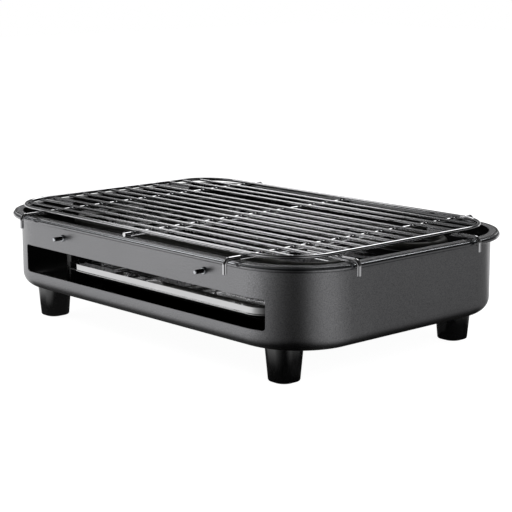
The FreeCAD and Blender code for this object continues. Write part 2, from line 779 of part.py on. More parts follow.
def make_end_hook(side, index):
    """A short wire under a rod's end that runs over the end flange and hooks down."""
    y = net_rod_y(index)
    points = [net_point(side * (cross_wire_x + end_hook_lap), y, cross_wire_height),
              net_point(side * end_hook_reach, y, cross_wire_height),
              net_point(side * end_hook_reach, y, hook_leg_bottom)]
    return tube(rounded_path(points, [hook_bend]), cross_wire_radius)


def main():
    os.makedirs("parts", exist_ok=True)
    save("body_tub", [make_tub()])
    for name, x, y in foot_places():
        save(f"foot_{name}", [make_foot(x, y)])
    save("foot_washers", [make_foot_washer(x, y) for name, x, y in foot_places()])
    save("foot_screws", [make_foot_screw(x, y) for name, x, y in foot_places()])
    save("support_rod_left", [make_support_rod(-rod_x)])
    save("support_rod_right", [make_support_rod(rod_x)])
    save("rod_collars", [make_rod_collar(x, side) for x in (-rod_x, rod_x) for side in (-1, 1)])
    save("heating_element", [make_element()])
    save("element_terminals", [make_terminal(y) for y in leg_places()])
    save("element_seals", [make_seal(y) for y in leg_places()])
    save("element_flange", [make_element_flange()])
    save("flange_screws", [make_flange_screw(y) for y in flange_screw_places()])
    save("flange_nuts", [make_hex_nut(Vector(left_wall_out, y, element_leg_height), (-1, 0, 0),
                                      flange_screw_radius + running_clearance) for y in flange_screw_places()])
    save("end_shield", [make_shield()])
    save("fat_tray", [make_tray()])
    save("tray_runner_left", [make_runner(-1)])
    save("tray_runner_right", [make_runner(1)])
    rivet_places = shield_rivet_places() + runner_rivet_places(-1) + runner_rivet_places(1)
    save("floor_rivets", [make_rivet(x, y, z) for x, y, z in rivet_places])
    save("inlet_housing", [make_housing()])
    save("inlet_socket", [make_socket()])
    save("inlet_pins", [make_pin(y, rise) for y, rise in pin_places()])
    save("housing_screws", [make_housing_screw(y) for y in ear_places()])
    save("housing_nuts", [make_hex_nut(Vector(left_wall_in, y, housing_middle), (1, 0, 0),
                                       housing_screw_radius + running_clearance) for y in ear_places()])
    save("earth_screw", [make_earth_screw()])
    save("earth_nut", [make_hex_nut(Vector(left_wall_in, 0, earth_screw_z), (1, 0, 0),
                                    earth_screw_radius + running_clearance)])
    save("net_frame", [make_net_frame()])
    save("net_rods", [make_net_rod(k) for k in range(net_rod_count)])
    save("net_cross_wire_left", [make_hooked_cross_wire(-cross_wire_x)])
    save("net_cross_wire_centre", [make_centre_cross_wire()])
    save("net_cross_wire_right", [make_hooked_cross_wire(cross_wire_x)])
    save("net_hooks_left", [make_end_hook(-1, k) for k in end_hook_rods])
    save("net_hooks_right", [make_end_hook(1, k) for k in end_hook_rods])


main()
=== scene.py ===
import math

import bmesh
import bpy
from mathutils import Matrix, Vector


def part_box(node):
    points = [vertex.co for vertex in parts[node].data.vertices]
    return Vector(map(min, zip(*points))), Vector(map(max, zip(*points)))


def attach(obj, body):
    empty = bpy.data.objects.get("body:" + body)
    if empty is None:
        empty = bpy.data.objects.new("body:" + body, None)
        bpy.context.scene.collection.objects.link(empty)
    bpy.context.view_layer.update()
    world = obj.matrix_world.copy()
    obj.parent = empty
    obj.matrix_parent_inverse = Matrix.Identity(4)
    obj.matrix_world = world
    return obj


bl_info = {
    "name": "Electric fish roaster",
    "version": (1, 0, 0),
    "blender": (4, 5, 0),
    "location": "View3D > Sidebar > Roaster",
    "description": "Finishes and small details of a table-top roaster with a net and a fat tray",
    "category": "Object",
}

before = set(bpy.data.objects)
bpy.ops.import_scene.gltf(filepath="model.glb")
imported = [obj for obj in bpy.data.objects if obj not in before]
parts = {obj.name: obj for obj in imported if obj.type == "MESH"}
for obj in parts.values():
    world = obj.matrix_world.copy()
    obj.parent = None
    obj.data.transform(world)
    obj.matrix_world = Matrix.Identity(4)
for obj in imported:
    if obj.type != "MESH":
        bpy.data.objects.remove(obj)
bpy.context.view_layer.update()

MM = 0.001

# ---- sizes on the part, in millimetres ----
FRAME_WIRE = 3.0               # diameter of the net's frame wire
WELD_HEIGHT = 97.825           # where the net's crossed wires touch
WELD_HALF_HEIGHT = 0.45
# the net's rods, from the front
ROD_LINES = [-104.5, -88.35, -72.21, -56.06, -39.92, -23.77, -7.63,
             8.52, 24.66, 40.81, 62.01, 78.15, 94.3]
END_WELD_RODS = (2, 10)        # the rods' places at which the hooked wires cross the frame's ends
ROLLED_EDGE_START = 3.6        # outside the tub's wall
ROLLED_EDGE_FULL = 4.8
SKIN_DEPTH = 0.6               # halfway through the tub's sheet
BELOW_RIM = 93.9               # just under the flange's flat top
SHADE_PAINT_TOP = 66.0             # below this height the shield's face towards the tray is painted black as shade; above it the sheet is bare
GLINT_TIP = 134.2           # beyond this, front and back, the support rods' ends are painted bright zinc as a painted glint


def linear(hex_colour):
    """An sRGB hex colour as linear red, green, blue and alpha."""
    values = [int(hex_colour[k:k + 2], 16) / 255 for k in (0, 2, 4)]
    return [v / 12.92 if v <= 0.04045 else ((v + 0.055) / 1.055) ** 2.4 for v in values] + [1.0]


def node(tree, kind, inputs=None, **settings):
    """Adds one node with its settings; inputs hold plain values or the sockets to link from."""
    made = tree.nodes.new(kind)
    for name, value in settings.items():
        setattr(made, name, value)
    for name, value in (inputs or {}).items():
        if isinstance(value, bpy.types.NodeSocket):
            tree.links.new(value, made.inputs[name])
        else:
            made.inputs[name].default_value = value
    return made


def colour(name, hex_default, words):
    return bpy.props.FloatVectorProperty(
        name=name, description=words, subtype="COLOR", size=4, min=0, max=1,
        default=linear(hex_default))


def length(name, millimetres, words):
    return bpy.props.FloatProperty(
        name=name, description=words, unit="LENGTH", default=millimetres * MM)


class RoasterFinishes(bpy.types.PropertyGroup):
    tub_coating: colour("Tub coating", "8E8E90", "Metallic charcoal coating outside the tub")
    tub_inside: colour("Tub inside", "0B0B0B", "Black coating on the inside of the tub")
    foot_black: colour("Feet", "0A0A0B", "Polished black of the four feet")
    chrome: colour("Net plating", "E2E2E4", "Bright plating on the wires of the net")
    tray_steel: colour("Tray steel", "D9D9DA", "Polished steel of the fat tray")
    sheath: colour("Element sheath", "2C2C29", "Oxidised sheath of the heating element")
    shield_sheet: colour("End shield", "CFCFD1", "Aluminised sheet of the shield and the flange")
    zinc: colour("Fasteners", "C4C7CB", "Bright zinc on screws, nuts and washers")
    housing_black: colour("Inlet housing", "1C1C1D", "Black of the inlet housing")
    runner_black: colour("Runners", "151515", "Black oxide on the tray runners")


class RoasterSizes(bpy.types.PropertyGroup):
    wall_half_length: length("Wall half length", 192.6, "From the tub's middle to its end wall")
    wall_half_width: length("Wall half width", 125.6, "From the tub's middle to its long wall")
    wall_corner: length("Wall corner radius", 56.6, "Outer radius of the tub's upright corners")
    bottom_radius: length("Bottom radius", 12.0, "Outer radius between walls and floor")
    bottom_height: length("Underside height", 27.7, "The tub's underside above the table")
    weld_length: length("Weld length", 2.2, "Length of a weld nugget along the upper wire")


class RoasterStage(bpy.types.PropertyGroup):
    camera_lens: bpy.props.FloatProperty(
        name="Lens", description="Focal length on a 36 mm wide sensor", unit="CAMERA",
        default=109.08)
    lamp_level: bpy.props.FloatProperty(
        name="Lamp level", description="Strength of all the lamps together", subtype="FACTOR",
        default=1.0)


def new_material(name):
    material = bpy.data.materials.new(name)
    material.use_nodes = True
    material.node_tree.nodes.clear()
    return material, material.node_tree


def surface(tree, **inputs):
    """The Principled shader and the output; the names' underscores stand for spaces."""
    named = {k.replace("_", " "): v for k, v in inputs.items()}
    shader = node(tree, "ShaderNodeBsdfPrincipled", named)
    node(tree, "ShaderNodeOutputMaterial", {"Surface": shader.outputs["BSDF"]})


def millimetre_coordinates(tree, stretch=(1, 1, 1)):
    """The place on the part, in millimetres, each axis divided by its stretch."""
    return vectors(tree, "MULTIPLY", position(tree), [1000 / s for s in stretch])


def maths(tree, operation, first, second=0.0, third=0.0, clamp=False):
    return node(tree, "ShaderNodeMath", {0: first, 1: second, 2: third},
                operation=operation, use_clamp=clamp).outputs["Value"]


def noise(tree, place, scale, detail, **inputs):
    """A noise texture's grey, with its scale per millimetre."""
    return node(tree, "ShaderNodeTexNoise", {
        "Vector": place, "Scale": scale, "Detail": detail, **inputs}).outputs["Fac"]


def blend(tree, share, first, second, **settings):
    """Goes from the first colour to the second as the share goes from 0 to 1."""
    return node(tree, "ShaderNodeMix", {"Factor": share, 6: first, 7: second},
                data_type="RGBA", **settings).outputs[2]


def darker(shade, share):
    return [share * c for c in shade[:3]] + [1]


def spread(tree, value, low, high, to_low=0.0, to_high=1.0, **settings):
    """Maps a value from one range to another, and stops at its ends."""
    return node(tree, "ShaderNodeMapRange", {
        "Value": value, "From Min": low, "From Max": high, "To Min": to_low, "To Max": to_high},
        **settings).outputs["Result"]


def vectors(tree, operation, first, second=(0, 0, 0)):
    made = node(tree, "ShaderNodeVectorMath", {0: first, 1: second}, operation=operation)
    return made.outputs["Value" if operation in ("LENGTH", "DOT_PRODUCT") else "Vector"]


def position(tree):
    return node(tree, "ShaderNodeTexCoord").outputs["Object"]


def axis(tree, vector, letter):
    return node(tree, "ShaderNodeSeparateXYZ", {0: vector}).outputs[letter]


def facing(tree, letter):
    """One part of the surface's direction."""
    return axis(tree, node(tree, "ShaderNodeNewGeometry").outputs["Normal"], letter)


def bumps(tree, height, strength, millimetres, **inputs):
    """The direction of a surface roughened by a height."""
    made = node(tree, "ShaderNodeBump", {
        "Height": height, "Strength": strength, "Distance": millimetres * MM, **inputs})
    return made.outputs["Normal"]


def dress(name, material):
    """Gives a CAD piece its material in every slot."""
    data = parts[name].data
    if not data.materials:
        data.materials.append(material)
    for index in range(len(data.materials)):
        data.materials[index] = material


def new_piece(name, body, material):
    """A fresh mesh that rides on a body; the caller fills it."""
    mesh = bpy.data.meshes.new(name)
    piece = bpy.data.objects.new(name, mesh)
    bpy.context.scene.collection.objects.link(piece)
    mesh.materials.append(material)
    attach(piece, body)
    return piece


# ---------- materials ----------

def tub_masks(tree, sizes):
    """Two masks: 1 on the tub's inner faces and 0 on its outer ones, and 1 on the rolled edge of
    its rim. Both come from the distance to its outer skin."""
    place = position(tree)
    corner = sizes.wall_corner
    straight = (sizes.wall_half_length - corner, sizes.wall_half_width - corner, 1.0)
    size = vectors(tree, "ABSOLUTE", place)
    outside = vectors(tree, "MAXIMUM", vectors(tree, "SUBTRACT", size, straight))
    along = vectors(tree, "LENGTH", outside)
    edge = spread(tree, along, corner + ROLLED_EDGE_START * MM, corner + ROLLED_EDGE_FULL * MM,
                  interpolation_type="SMOOTHSTEP")
    upright = maths(tree, "SUBTRACT", along, corner - sizes.bottom_radius)
    height = axis(tree, place, "Z")
    below = maths(tree, "SUBTRACT", sizes.bottom_height + sizes.bottom_radius, height)
    both = node(tree, "ShaderNodeCombineXYZ", {
        "X": maths(tree, "MAXIMUM", upright, 0.0), "Y": maths(tree, "MAXIMUM", below, 0.0)})
    rounded = vectors(tree, "LENGTH", both.outputs["Vector"])
    deep = maths(tree, "MINIMUM", maths(tree, "MAXIMUM", upright, below), 0.0)
    distance = maths(tree, "SUBTRACT", maths(tree, "ADD", rounded, deep), sizes.bottom_radius)
    inner = maths(tree, "LESS_THAN", distance, -SKIN_DEPTH * MM)
    below_rim = maths(tree, "LESS_THAN", height, BELOW_RIM * MM)
    return maths(tree, "MULTIPLY", inner, below_rim), edge


def tub_coating(finishes, sizes):
    """Pressed steel with a sprayed, baked metallic non-stick coating: a satin charcoal with a faint
    sparkle and orange peel outside, a painted highlight of bright zinc along the crown of the rim's
    rolled edge, and plain black inside."""
    material, tree = new_material("sprayed_charcoal_coating")
    place = millimetre_coordinates(tree)
    inside, edge = tub_masks(tree, sizes)
    # flakes are about 0.2 mm in the coating and drawn at 0.8 mm to show
    flakes = noise(tree, place, 1.25, 2.0, Roughness=0.7)
    clouds = noise(tree, place, 0.02, 2.0)
    shade = spread(tree, flakes, 0.3, 0.7, 0.66, 1.32)
    cloud_shade = spread(tree, clouds, 0.3, 0.7, 0.97, 1.03)
    tone = maths(tree, "MULTIPLY", shade, cloud_shade)
    grey = node(tree, "ShaderNodeCombineColor", {"Red": tone, "Green": tone, "Blue": tone})
    outer = blend(tree, 1.0, finishes.tub_coating, grey.outputs["Color"], blend_type="MULTIPLY")
    # painted highlight: the crown of the rolled edge is blended towards bright zinc as the light
    # line it catches
    up = facing(tree, "Z")
    crown_highlight = maths(tree, "MULTIPLY", spread(tree, up, 0.35, 0.6), spread(tree, up, 0.995, 0.975))
    crown_highlight = maths(tree, "MULTIPLY", maths(tree, "MULTIPLY", crown_highlight, edge), 0.85)
    with_crown_highlight = blend(tree, crown_highlight, outer, finishes.zinc)
    both = blend(tree, inside, with_crown_highlight, finishes.tub_inside)
    metal = maths(tree, "SUBTRACT", 1.0, inside)
    rough = maths(tree, "MULTIPLY_ADD", flakes, 0.12, 0.27)
    rough = maths(tree, "MULTIPLY", rough, maths(tree, "MULTIPLY_ADD", edge, -0.55, 1.0))
    peel = noise(tree, place, 0.9, 1.0)
    surface(tree, Base_Color=both, Metallic=metal, Roughness=rough, Specular_IOR_Level=0.3,
            Normal=bumps(tree, peel, 0.12, 0.15))
    return material


def foot_moulding(finishes):
    """Polished black ABS, injection moulded: nearly mirror smooth, with the slight ripple of the
    tool."""
    material, tree = new_material("polished_black_moulding")
    place = millimetre_coordinates(tree)
    ripple = noise(tree, place, 0.12, 2.0)
    dust = noise(tree, place, 2.2, 3.0)
    surface(tree, Base_Color=finishes.foot_black, IOR=1.54, Coat_Weight=1.0, Coat_Roughness=0.05,
            Roughness=maths(tree, "MULTIPLY_ADD", dust, 0.10, 0.13),
            Normal=bumps(tree, ripple, 0.10, 0.4))
    return material


def chrome_plate(finishes):
    """Nickel-chrome plate on drawn wire: a mirror with a slight haze that varies along it."""
    material, tree = new_material("chrome_plated_wire")
    haze = noise(tree, millimetre_coordinates(tree), 0.15, 3.0)
    tint = blend(tree, haze, finishes.chrome, darker(finishes.chrome, 0.9))
    surface(tree, Base_Color=tint, Metallic=1.0,
            Roughness=spread(tree, haze, 0.35, 0.7, 0.03, 0.09))
    return material


def polished_tray(finishes):
    """Bright-annealed stainless sheet, drawn to a pan: a near mirror with faint rolling lines,
    whose drawn floor waves enough to break up what it mirrors."""
    material, tree = new_material("bright_rolled_stainless")
    # rolling lines are about 0.05 mm apart and drawn 0.5 mm apart to show
    lines = noise(tree, millimetre_coordinates(tree, (40, 1, 4)), 2.0, 3.0)
    clouds = noise(tree, millimetre_coordinates(tree), 0.03, 2.0)
    waves = noise(tree, millimetre_coordinates(tree, (1, 1, 0.2)), 0.03, 1.0)
    tint = blend(tree, clouds, finishes.tray_steel, darker(finishes.tray_steel, 0.85))
    grain = bumps(tree, lines, 0.02, 0.05)
    surface(tree, Base_Color=tint, Metallic=1.0,
            Roughness=maths(tree, "MULTIPLY_ADD", lines, 0.05, 0.015),
            Normal=bumps(tree, waves, 0.09, 2.0, Normal=grain))
    return material


def element_sheath(finishes):
    """Nickel-alloy sheath, annealed green-black: a dull oxide skin with darker patches."""
    material, tree = new_material("oxidised_alloy_sheath")
    place = millimetre_coordinates(tree)
    patches = noise(tree, place, 0.06, 4.0, Roughness=0.6)
    grain = noise(tree, place, 1.5, 2.0)
    base = blend(tree, patches, darker(finishes.sheath, 0.55), finishes.sheath)
    surface(tree, Base_Color=base, Metallic=0.7,
            Roughness=maths(tree, "MULTIPLY_ADD", grain, 0.2, 0.36),
            Normal=bumps(tree, grain, 0.08, 0.1))
    return material


def aluminised_sheet(finishes, name="aluminised_sheet", shade_painted_back=False):
    """Aluminised steel sheet: bright and slightly frosted, with faint spangle. With painted shade
    on the back, every face but the one that looks along +X is coloured black as shade, and that one
    too beside the tray."""
    material, tree = new_material(name)
    # spangle grains are about 1 mm and drawn at 3 mm to show
    spangle = node(tree, "ShaderNodeTexVoronoi", {
        "Vector": millimetre_coordinates(tree), "Scale": 0.33})
    grain = node(tree, "ShaderNodeSeparateColor", {"Color": spangle.outputs["Color"]})
    tint = blend(tree, spangle.outputs["Distance"], finishes.shield_sheet,
                 darker(finishes.shield_sheet, 0.85))
    metal = 0.6
    if shade_painted_back:
        # painted shade: black on every face but the one looking along +X, and on that one low down
        # beside the tray
        high = maths(tree, "GREATER_THAN", axis(tree, position(tree), "Z"), SHADE_PAINT_TOP * MM)
        free_of_painted_shade = maths(tree, "MULTIPLY", spread(tree, facing(tree, "X"), 0.5, 0.8), high)
        tint = blend(tree, free_of_painted_shade, finishes.tub_inside, tint)
        metal = maths(tree, "MULTIPLY", free_of_painted_shade, metal)
    surface(tree, Base_Color=tint, Metallic=metal,
            Roughness=maths(tree, "MULTIPLY_ADD", grain.outputs["Red"], 0.10, 0.22))
    return material


def zinc_plate(finishes):
    """Bright zinc plate on turned and headed steel: a blue-white, slightly cloudy metal."""
    material, tree = new_material("bright_zinc_plate")
    clouds = noise(tree, millimetre_coordinates(tree), 0.8, 3.0)
    surface(tree, Base_Color=blend(tree, clouds, finishes.zinc, darker(finishes.zinc, 0.75)),
            Metallic=1.0, Roughness=maths(tree, "MULTIPLY_ADD", clouds, 0.2, 0.14))
    return material


def drawn_rod(finishes):
    """Drawn steel rod: fine lines along it, dulled by heat, with its rounded ends painted bright
    zinc as a painted glint."""
    material, tree = new_material("drawn_steel_rod")
    lines = noise(tree, millimetre_coordinates(tree, (0.4, 20, 0.4)), 1.0, 3.0)
    side = maths(tree, "ABSOLUTE", axis(tree, position(tree), "Y"))
    # painted glint: the rounded ends beyond the set distance are coloured bright zinc
    glint_tip = maths(tree, "GREATER_THAN", side, GLINT_TIP * MM)
    surface(tree, Base_Color=blend(tree, glint_tip, linear("3C3C3C"), finishes.zinc), Metallic=1.0,
            Roughness=maths(tree, "MULTIPLY_ADD", lines, 0.25, 0.12))
    return material


def black_oxide(finishes):
    """Black-oxide steel strip: matt, thin skin with a trace of rolling direction."""
    material, tree = new_material("black_oxide_strip")
    lines = noise(tree, millimetre_coordinates(tree, (2, 30, 2)), 1.5, 3.0)
    tint = blend(tree, lines, darker(finishes.runner_black, 0.7), finishes.runner_black)
    surface(tree, Base_Color=tint, Metallic=0.3,
            Roughness=maths(tree, "MULTIPLY_ADD", lines, 0.25, 0.35))
    return material


def textured_moulding(finishes, name="spark_textured_moulding", grain_mm=0.7, shade=1.0):
    """Black moulding with an even fine pebble: matt polypropylene from a spark-eroded tool, or, in
    a darker shade and with a coarser grain, a pressed phenolic block."""
    material, tree = new_material(name)
    # the pebble is about 0.1 mm and drawn coarser to show
    pebble = noise(tree, millimetre_coordinates(tree), 1 / grain_mm, 2.0)
    base = darker(finishes.housing_black, shade)
    surface(tree, Base_Color=blend(tree, pebble, darker(base, 0.8), base), IOR=1.49,
            Roughness=maths(tree, "MULTIPLY_ADD", pebble, 0.2, 0.42),
            Normal=bumps(tree, pebble, 0.25, 0.12))
    return material


def ceramic_bead():
    """Steatite, pressed and fired: an off-white, slightly speckled matt ceramic."""
    material, tree = new_material("fired_steatite")
    specks = noise(tree, millimetre_coordinates(tree), 1.5, 3.0)
    surface(tree, Base_Color=blend(tree, specks, linear("CFC8B8"), linear("EDE8DC")),
            Roughness=0.6, IOR=1.6)
    return material


def nickel_pin():
    """Nickel-plated brass strip: warm grey, half bright, with lines along the pin."""
    material, tree = new_material("nickel_plated_pin")
    lines = noise(tree, millimetre_coordinates(tree, (12, 0.6, 0.6)), 1.0, 2.0)
    surface(tree, Base_Color=blend(tree, lines, linear("A8A49A"), linear("D6D2C8")), Metallic=1.0,
            Roughness=maths(tree, "MULTIPLY_ADD", lines, 0.2, 0.16))
    return material


# ---------- pieces ----------

def weld_places():
    """Where wires cross: x, y and whether the upper wire runs along Y."""
    places = []
    wires = [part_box(name) for name in (
        "net_cross_wire_left", "net_cross_wire_centre", "net_cross_wire_right")]
    frame_low, frame_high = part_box("net_frame")
    half_wire = FRAME_WIRE / 2 * MM
    for low, high in wires:
        x = (low[0] + high[0]) / 2
        places += [(x, y * MM, False) for y in ROD_LINES]
        places += [(x, frame_low[1] + half_wire, False), (x, frame_high[1] - half_wire, False)]
    for x in (frame_low[0] + half_wire, frame_high[0] - half_wire):
        places += [(x, ROD_LINES[k] * MM, True) for k in END_WELD_RODS]
    return places


def weld_nugget(mesh, x, y, along_y, size, index):
    """A squeezed nugget between two crossed wires: hollow-sided, longer along the upper wire and
    slightly different each time."""
    rows, steps = 9, 20
    rings = []
    for r in range(rows):
        level = 2 * r / (rows - 1) - 1
        waist = 0.62 + 0.38 * level * level
        ring = []
        for k in range(steps):
            a = 2 * math.pi * k / steps
            uneven = 1 + 0.06 * math.sin(3 * a + index) + 0.04 * math.sin(5 * a + 2.3 * index)
            reach = waist * size / 2 * uneven
            long, short = reach * math.cos(a), 0.62 * reach * math.sin(a)
            if along_y:
                long, short = short, long
            z = WELD_HEIGHT * MM + WELD_HALF_HEIGHT * MM * level
            ring.append(mesh.verts.new((x + long, y + short, z)))
        rings.append(ring)
    for low, high in zip(rings, rings[1:]):
        for k in range(steps):
            after = (k + 1) % steps
            mesh.faces.new((low[k], low[after], high[after], high[k]))
    mesh.faces.new(rings[0][::-1])
    mesh.faces.new(rings[-1])


class ROASTER_OT_tub(bpy.types.Operator):
    """Coats the tub: charcoal outside, black inside"""
    bl_idname = "roaster.tub"
    bl_label = "Tub"

    def execute(self, context):
        scene = context.scene
        dress("body_tub", tub_coating(scene.roaster_finishes, scene.roaster_sizes))
        return {"FINISHED"}


class ROASTER_OT_feet(bpy.types.Operator):
    """Gives the four feet their polished moulding"""
    bl_idname = "roaster.feet"
    bl_label = "Feet"

    def execute(self, context):
        material = foot_moulding(context.scene.roaster_finishes)
        for name in parts:
            if name.startswith("foot_") and name not in ("foot_screws", "foot_washers"):
                dress(name, material)
        return {"FINISHED"}


class ROASTER_OT_fasteners(bpy.types.Operator):
    """Plates the screws, nuts, washers, rivets and collars with zinc"""
    bl_idname = "roaster.fasteners"
    bl_label = "Fasteners"

    def execute(self, context):
        material = zinc_plate(context.scene.roaster_finishes)
        for name in ("foot_screws", "foot_washers", "flange_screws", "flange_nuts", "floor_rivets",
                     "housing_screws", "housing_nuts", "earth_screw", "earth_nut", "rod_collars",
                     "element_terminals"):
            dress(name, material)
        return {"FINISHED"}


class ROASTER_OT_element(bpy.types.Operator):
    """Finishes the heating element, its seals, its flange and the rods that carry it"""
    bl_idname = "roaster.element"
    bl_label = "Heating element"

    def execute(self, context):
        finishes = context.scene.roaster_finishes
        dress("heating_element", element_sheath(finishes))
        dress("element_seals", ceramic_bead())
        rod = drawn_rod(finishes)
        dress("support_rod_left", rod)
        dress("support_rod_right", rod)
        dress("element_flange", aluminised_sheet(finishes))
        # the end shield gets painted shade: black on its back and low down beside the tray
        dress("end_shield",
              aluminised_sheet(finishes, "reflector_sheet_with_painted_shade", shade_painted_back=True))
        return {"FINISHED"}


class ROASTER_OT_tray(bpy.types.Operator):
    """Finishes the fat tray and its runners"""
    bl_idname = "roaster.tray"
    bl_label = "Fat tray"

    def execute(self, context):
        finishes = context.scene.roaster_finishes
        dress("fat_tray", polished_tray(finishes))
        runner = black_oxide(finishes)
        dress("tray_runner_left", runner)
        dress("tray_runner_right", runner)
        return {"FINISHED"}


class ROASTER_OT_inlet(bpy.types.Operator):
    """Finishes the appliance inlet"""
    bl_idname = "roaster.inlet"
    bl_label = "Inlet"

    def execute(self, context):
        finishes = context.scene.roaster_finishes
        dress("inlet_housing", textured_moulding(finishes))
        dress("inlet_socket", textured_moulding(
            finishes, "pressed_phenolic_block", grain_mm=1.1, shade=0.6))
        dress("inlet_pins", nickel_pin())
        return {"FINISHED"}


class ROASTER_OT_net(bpy.types.Operator):
    """Plates the net's wires"""
    bl_idname = "roaster.net"
    bl_label = "Net"

    def execute(self, context):
        scene = context.scene
        material = chrome_plate(scene.roaster_finishes)
        for name in parts:
            if name.startswith("net_"):
                dress(name, material)
        welds = new_piece("net_welds", "net", material)
        mesh = bmesh.new()
        for index, (x, y, along_y) in enumerate(weld_places()):
            weld_nugget(mesh, x, y, along_y, scene.roaster_sizes.weld_length, index)
        mesh.to_mesh(welds.data)
        mesh.free()
        welds.data.shade_smooth()
        return {"FINISHED"}


# ---------- stage ----------

FLOOR_HALF = 4.0               # metres, as all lengths of the stage
FLOOR_HEIGHT = -0.0004
WORLD_LIGHT = 0.4              # what the pieces get from the world, which looks 1 to the camera
CAMERA_PLACE = (0.9705, -0.8681, 0.3179)
CAMERA_AIM = (0, 0, 0.06)
CAMERA_ROLL = -0.26            # degrees
CAMERA_SHIFT = (0.0183, 0.0023)


def seen_directly(tree):
    """1 to the camera, to mirrors and through clear pieces, and 0 as light on the pieces."""
    path = node(tree, "ShaderNodeLightPath")
    seen = maths(tree, "ADD", path.outputs["Is Camera Ray"], path.outputs["Is Glossy Ray"])
    return maths(tree, "ADD", seen, path.outputs["Is Transmission Ray"], clamp=True)


def studio_paper():
    """White paper: the camera and shiny pieces see it white, with the part's soft shadow left in
    it."""
    material, tree = new_material("studio_paper")
    paper = node(tree, "ShaderNodeBsdfDiffuse", {"Color": (0.8, 0.8, 0.8, 1)})
    shade = node(tree, "ShaderNodeBsdfDiffuse", {"Color": (0.2, 0.2, 0.2, 1)})
    glow = node(tree, "ShaderNodeEmission", {"Color": (1, 1, 1, 1), "Strength": 0.96})
    both = node(tree, "ShaderNodeAddShader", {0: shade.outputs[0], 1: glow.outputs[0]})
    shown = node(tree, "ShaderNodeMixShader", {
        0: seen_directly(tree), 1: paper.outputs[0], 2: both.outputs[0]})
    node(tree, "ShaderNodeOutputMaterial", {"Surface": shown.outputs[0]})
    return material


# what the tent's floor and lower wall show at each azimuth round the near corner, in degrees, 0 in
# front and 90 to the right
TENT_WALL = [(-180, 1.15), (-140, 1.15), (-52, 1.2), (-38, 1.2), (-20, 1.0), (-3, 0.52),
             (15, 0.23), (32, 0.08), (46, 0.05), (56, 0.13), (68, 0.50), (84, 0.78), (98, 0.72),
             (112, 0.52), (126, 0.32), (165, 0.30)]
# how much of that is left at each height in degrees over the table
TENT_HEIGHT = [(-90, 1.0), (-3, 1.0), (1, 0.8), (6, 0.2), (12, 0.08), (90, 0.04)]
# where that azimuth is measured from: the middle of the tub's near corner
TENT_MIDDLE = (0.136, -0.069, 0)
# round lamps in the tent: azimuth, elevation and radius in degrees, and strength
TENT_LAMPS = [(-118, 34, 7, 3.2), (-66, 37, 6, 2.2), (-85, 42, 30, 0.06), (-154, 42, 12, 3.4)]
LAMP_FULL = 0.75               # share of a lamp's radius where it begins to fade, and where it ends
LAMP_GONE = 1.25
# the tent's rows of corners: distance out and height
TENT_ROWS = [(0.01, 0.0), (0.3, 0.0), (1.2, 0.0), (2.0, 0.02), (2.35, 0.25), (2.45, 0.9),
             (2.2, 1.7), (1.5, 2.35), (0.6, 2.6)]
TENT_STEPS = 72
TENT_LIFT = 0.0005             # of the tent over the table
# the part's shade on the tent's floor: half its size, how far it reaches and how dark it is
SHADE_HALF = (0.19, 0.125, 0)
CONTACT_REACH = 0.04
CONTACT_LEVEL = 0.06
SHADE_REACH = 0.26
SHADE_LEVEL = 0.78


def ramp(tree, value, stops, low, high):
    """A smooth curve through the stops, as grey levels."""
    made = node(tree, "ShaderNodeValToRGB", {0: spread(tree, value, low, high)})
    elements = made.color_ramp.elements
    while len(elements) < len(stops):
        elements.new(0.5)
    for element, (place, level) in zip(elements, stops):
        element.position = (place - low) / (high - low)
        element.color = (level, level, level, 1)
    parted = node(tree, "ShaderNodeSeparateColor", {"Color": made.outputs["Color"]})
    return parted.outputs["Red"]


def tent_cloth():
    """The painted tent that shiny surfaces mirror: a pale floor to the left and right and a dark
    one between, a dark wall with round lamps, and the part's own shade on the floor close to it."""
    material, tree = new_material("studio_tent")
    place = position(tree)
    from_corner = vectors(tree, "SUBTRACT", place, TENT_MIDDLE)
    x, y, z = (axis(tree, from_corner, letter) for letter in "XYZ")
    ahead = maths(tree, "MULTIPLY", y, -1.0)
    azimuth = maths(tree, "DEGREES", maths(tree, "ARCTAN2", x, ahead))
    flat = node(tree, "ShaderNodeCombineXYZ", {"X": x, "Y": y})
    reach = vectors(tree, "LENGTH", flat.outputs["Vector"])
    rise = maths(tree, "DEGREES", maths(tree, "ARCTAN2", z, reach))
    outside = vectors(tree, "SUBTRACT", vectors(tree, "ABSOLUTE", place), SHADE_HALF)
    away = vectors(tree, "LENGTH", vectors(tree, "MAXIMUM", outside))
    open_floor = spread(tree, away, 0.0, CONTACT_REACH, CONTACT_LEVEL,
                        interpolation_type="SMOOTHSTEP")
    far_floor = spread(tree, away, CONTACT_REACH, SHADE_REACH, SHADE_LEVEL)
    level = maths(tree, "MULTIPLY", ramp(tree, azimuth, TENT_WALL, -180, 180),
                  ramp(tree, rise, TENT_HEIGHT, -90, 90))
    level = maths(tree, "MULTIPLY", level, maths(tree, "MULTIPLY", open_floor, far_floor))
    heading = vectors(tree, "NORMALIZE", from_corner)
    for across, high, radius, strength in TENT_LAMPS:
        high = math.radians(high)
        near = vectors(tree, "DOT_PRODUCT", heading,
                       round_the_part(across, math.cos(high), math.sin(high)))
        disc = spread(tree, near, math.cos(math.radians(LAMP_GONE * radius)),
                      math.cos(math.radians(LAMP_FULL * radius)), 0.0, strength,
                      interpolation_type="SMOOTHSTEP")
        level = maths(tree, "ADD", level, disc)
    glow = node(tree, "ShaderNodeEmission", {"Color": (1, 1, 1, 1), "Strength": level})
    node(tree, "ShaderNodeOutputMaterial", {"Surface": glow.outputs[0]})
    return material


def round_the_part(azimuth, distance, height):
    """A place at an azimuth in degrees (0 in front, 90 to the right), metres out and up."""
    a = math.radians(azimuth)
    return Vector((math.sin(a) * distance, -math.cos(a) * distance, height))


